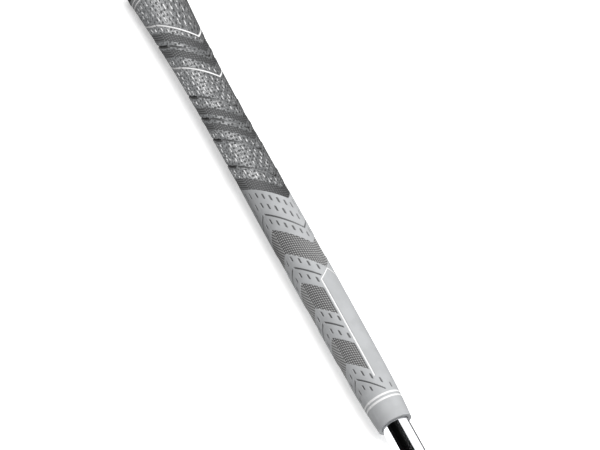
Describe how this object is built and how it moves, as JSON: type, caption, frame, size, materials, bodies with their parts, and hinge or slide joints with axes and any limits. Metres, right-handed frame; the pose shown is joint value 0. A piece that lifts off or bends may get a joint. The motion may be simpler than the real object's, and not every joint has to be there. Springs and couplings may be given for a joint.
{
  "type": "golf grip",
  "caption": "Moulded golf grip with a corded upper half, a plain textured lower half and a butt cap, fitted on the butt end of a stepped steel shaft.",
  "frame": {"origin": "on the shaft's axis at the mouth of the grip", "axes": "+X along the shaft towards its free end, +Z through the front centre line with the bare panel"},
  "size_m": [0.2996, 0.0274, 0.0274],
  "materials": {
    "chrome": "bright plated",
    "tape": "matte",
    "corded_rubber": "matte",
    "plain_rubber": "matte",
    "underlisting": "matte",
    "line_paint": "satin"
  },
  "bodies": {
    "root": {"shaft_tube": "chrome", "grip_tape": "tape", "butt_cap": "corded_rubber", "underlist_front": "underlisting", "underlist_back": "underlisting", "upper_shell_front": "corded_rubber", "upper_shell_back": "corded_rubber", "lower_shell_front": "plain_rubber", "lower_shell_back": "plain_rubber", "chevron_paint_1_front": "line_paint", "chevron_paint_1_back": "line_paint", "chevron_paint_2_front": "line_paint", "chevron_paint_2_back": "line_paint", "panel_outline_paint": "line_paint", "mouth_ring_paint_1": "line_paint", "mouth_ring_paint_2": "line_paint", "cap_ring_paint_1": "line_paint", "cap_ring_paint_2": "line_paint"}
  },
  "joints": []
}
